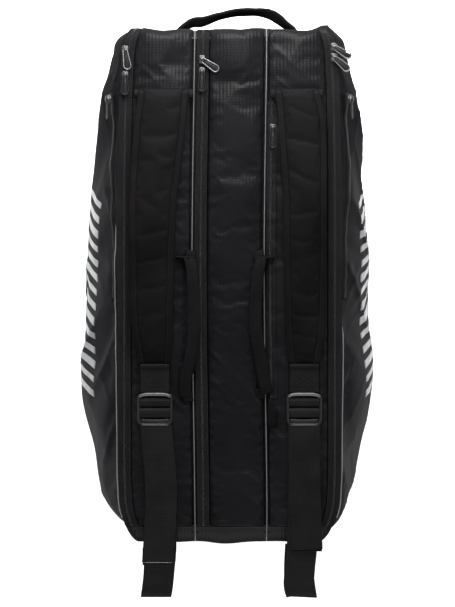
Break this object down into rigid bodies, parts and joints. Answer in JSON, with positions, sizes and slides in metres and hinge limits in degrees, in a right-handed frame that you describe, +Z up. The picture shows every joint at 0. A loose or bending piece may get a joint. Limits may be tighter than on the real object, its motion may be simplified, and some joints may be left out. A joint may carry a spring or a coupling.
{
  "type": "racket bag",
  "caption": "Long padded racket bag with side panels that unzip, shoulder straps with ladder locks, two carry handles and a top handle, lying strap face up.",
  "frame": {"origin": "middle of the flat belly that the bag rests on, on the middle line, at the middle of the bag's length", "axes": "+Z up out of the strap face, +Y along the bag towards the top handle, +X to the right of someone looking down at the strap face"},
  "size_m": [0.4488, 0.8669, 0.3216],
  "materials": {
    "face_fabric": "matt ribbed nylon",
    "side_fabric": "smooth coated, satin",
    "belly_fabric": "matt coated",
    "lining": "matt woven lining",
    "strap_fabric": "matt weave over foam",
    "webbing": "ribbed webbing",
    "piping": "light grey, satin",
    "zip_tape": "woven tape with nylon coil",
    "zip_slider": "dark gunmetal",
    "zip_pull": "moulded, satin",
    "buckle": "moulded, satin"
  },
  "bodies": {
    "root": {"belly_panel": "belly_fabric", "bottom_end_panel": "face_fabric", "top_end_panel": "face_fabric", "left_face_panel": "face_fabric", "right_face_panel": "face_fabric", "left_divider": "lining", "right_divider": "lining", "left_inner_piping": "piping", "right_inner_piping": "piping", "left_zip_tape": "zip_tape", "centre_zip_tape": "zip_tape", "right_zip_tape": "zip_tape", "pocket_zip_tape": "zip_tape", "strap_patches": "strap_fabric", "webbing_anchor_patches": "webbing", "left_anchor_webbing": "webbing", "right_anchor_webbing": "webbing", "left_handle_patches": "webbing", "top_handle_patches": "webbing"},
    "centre_lid": {"centre_lid": "face_fabric", "right_handle_patches": "webbing"},
    "top_handle": {"top_handle": "webbing"},
    "left_lid": {"left_lid": "side_fabric", "left_side_pocket": "side_fabric", "left_side_zip_tape": "zip_tape", "left_outer_piping": "piping"},
    "left_strap": {"left_shoulder_strap": "strap_fabric", "left_strap_tab": "webbing"},
    "left_buckle": {"left_ladder_lock": "buckle", "left_tail_webbing": "webbing"},
    "left_carry_handle": {"left_carry_handle": "webbing"},
    "right_lid": {"right_lid": "side_fabric", "right_side_pocket": "side_fabric", "right_side_zip_tape": "zip_tape", "right_outer_piping": "piping"},
    "right_strap": {"right_shoulder_strap": "strap_fabric", "right_strap_tab": "webbing"},
    "right_buckle": {"right_ladder_lock": "buckle", "right_tail_webbing": "webbing"},
    "right_carry_handle": {"right_carry_handle": "webbing"},
    "left_upper_slider": {"left_upper_slider": "zip_slider"},
    "left_upper_pull": {"left_upper_pull": "zip_pull"},
    "left_lower_slider": {"left_lower_slider": "zip_slider"},
    "left_lower_pull": {"left_lower_pull": "zip_pull"},
    "centre_upper_slider": {"centre_upper_slider": "zip_slider"},
    "centre_upper_pull": {"centre_upper_pull": "zip_pull"},
    "centre_lower_slider": {"centre_lower_slider": "zip_slider"},
    "centre_lower_pull": {"centre_lower_pull": "zip_pull"},
    "right_upper_slider": {"right_upper_slider": "zip_slider"},
    "right_upper_pull": {"right_upper_pull": "zip_pull"},
    "right_lower_slider": {"right_lower_slider": "zip_slider"},
    "right_lower_pull": {"right_lower_pull": "zip_pull"},
    "face_pocket_slider": {"face_pocket_slider": "zip_slider"},
    "face_pocket_pull": {"face_pocket_pull": "zip_pull"},
    "left_side_slider": {"left_side_slider": "zip_slider"},
    "left_side_pull": {"left_side_pull": "zip_pull"},
    "right_side_slider": {"right_side_slider": "zip_slider"},
    "right_side_pull": {"right_side_pull": "zip_pull"}
  },
  "joints": [
    {"name": "left_lid_hinge", "type": "hinge", "parent": "root", "child": "left_lid", "pos_m": [-0.161, 0, 0.0094], "axis": [0, -1, 0], "range_deg": [0, 55]},
    {"name": "left_strap_lift", "type": "hinge", "parent": "root", "child": "left_strap", "pos_m": [-0.1, 0.2863, 0.3096], "axis": [-1, 0, 0], "range_deg": [0, 22]},
    {"name": "left_buckle_tilt", "type": "hinge", "parent": "left_strap", "child": "left_buckle", "pos_m": [-0.109, -0.155, 0.3126], "axis": [-1, 0, 0], "range_deg": [0, 25]},
    {"name": "left_carry_handle_lift", "type": "hinge", "parent": "root", "child": "left_carry_handle", "pos_m": [-0.062, -0.0595, 0.3116], "axis": [0, -1, 0], "range_deg": [0, 95]},
    {"name": "right_lid_hinge", "type": "hinge", "parent": "root", "child": "right_lid", "pos_m": [0.161, 0, 0.0094], "axis": [0, 1, 0], "range_deg": [0, 55]},
    {"name": "right_strap_lift", "type": "hinge", "parent": "root", "child": "right_strap", "pos_m": [0.1, 0.2863, 0.3096], "axis": [-1, 0, 0], "range_deg": [0, 22]},
    {"name": "right_buckle_tilt", "type": "hinge", "parent": "right_strap", "child": "right_buckle", "pos_m": [0.109, -0.155, 0.3126], "axis": [-1, 0, 0], "range_deg": [0, 25]},
    {"name": "right_carry_handle_lift", "type": "hinge", "parent": "centre_lid", "child": "right_carry_handle", "pos_m": [0.048, -0.0595, 0.3116], "axis": [0, 1, 0], "range_deg": [0, 95]},
    {"name": "centre_lid_hinge", "type": "hinge", "parent": "root", "child": "centre_lid", "pos_m": [0.053, 0, 0.3], "axis": [0, 1, 0], "range_deg": [0, 60]},
    {"name": "top_handle_swing", "type": "hinge", "parent": "root", "child": "top_handle", "pos_m": [0.009, 0.39, 0.19], "axis": [1, 0, 0], "range_deg": [-35, 35]},
    {"name": "left_upper_slide", "type": "slide", "parent": "root", "child": "left_upper_slider", "axis": [0, 1, 0], "range_m": [0, 0.011]},
    {"name": "left_upper_pull_flip", "type": "hinge", "parent": "left_upper_slider", "child": "left_upper_pull", "pos_m": [-0.153, 0.346, 0.3047], "axis": [-0.9903, -0.1392, 0], "range_deg": [0, 120]},
    {"name": "left_lower_slide", "type": "slide", "parent": "root", "child": "left_lower_slider", "axis": [0, 1, 0], "range_m": [-0.65, 0]},
    {"name": "left_lower_pull_flip", "type": "hinge", "parent": "left_lower_slider", "child": "left_lower_pull", "pos_m": [-0.153, 0.309, 0.3047], "axis": [-1, 0, 0], "range_deg": [0, 120]},
    {"name": "centre_upper_slide", "type": "slide", "parent": "centre_lid", "child": "centre_upper_slider", "axis": [0, 1, 0], "range_m": [0, 0.025]},
    {"name": "centre_upper_pull_flip", "type": "hinge", "parent": "centre_upper_slider", "child": "centre_upper_pull", "pos_m": [-0.0405, 0.332, 0.3047], "axis": [-0.5592, -0.829, 0], "range_deg": [0, 120]},
    {"name": "centre_lower_slide", "type": "slide", "parent": "root", "child": "centre_lower_slider", "axis": [0, 1, 0], "range_m": [-0.655, 0]},
    {"name": "centre_lower_pull_flip", "type": "hinge", "parent": "centre_lower_slider", "child": "centre_lower_pull", "pos_m": [-0.0405, 0.314, 0.3047], "axis": [-1, 0, 0], "range_deg": [0, 120]},
    {"name": "right_upper_slide", "type": "slide", "parent": "root", "child": "right_upper_slider", "axis": [0, 1, 0], "range_m": [0, 0.007]},
    {"name": "right_upper_pull_flip", "type": "hinge", "parent": "right_upper_slider", "child": "right_upper_pull", "pos_m": [0.153, 0.35, 0.3047], "axis": [-0.515, -0.8572, 0], "range_deg": [0, 120]},
    {"name": "right_lower_slide", "type": "slide", "parent": "root", "child": "right_lower_slider", "axis": [0, 1, 0], "range_m": [-0.675, 0]},
    {"name": "right_lower_pull_flip", "type": "hinge", "parent": "right_lower_slider", "child": "right_lower_pull", "pos_m": [0.153, 0.335, 0.3047], "axis": [-0.6561, -0.7547, 0], "range_deg": [0, 120]},
    {"name": "face_pocket_slide", "type": "slide", "parent": "root", "child": "face_pocket_slider", "axis": [0, 1, 0], "range_m": [-0.388, 0.012]},
    {"name": "face_pocket_pull_flip", "type": "hinge", "parent": "face_pocket_slider", "child": "face_pocket_pull", "pos_m": [0.0635, 0.231, 0.306], "axis": [-1, 0, 0], "range_deg": [0, 90]},
    {"name": "left_side_slide", "type": "slide", "parent": "left_lid", "child": "left_side_slider", "axis": [0.0125, 0.9999, 0], "range_m": [-0.36, 0]},
    {"name": "left_side_pull_flip", "type": "hinge", "parent": "left_side_slider", "child": "left_side_pull", "pos_m": [-0.18055, 0.276, 0.28344], "axis": [-0.342, 0, -0.9397], "range_deg": [0, 120]},
    {"name": "right_side_slide", "type": "slide", "parent": "right_lid", "child": "right_side_slider", "axis": [-0.0125, 0.9999, 0], "range_m": [-0.36, 0]},
    {"name": "right_side_pull_flip", "type": "hinge", "parent": "right_side_slider", "child": "right_side_pull", "pos_m": [0.18055, 0.276, 0.28344], "axis": [-0.342, 0, 0.9397], "range_deg": [0, 120]}
  ]
}
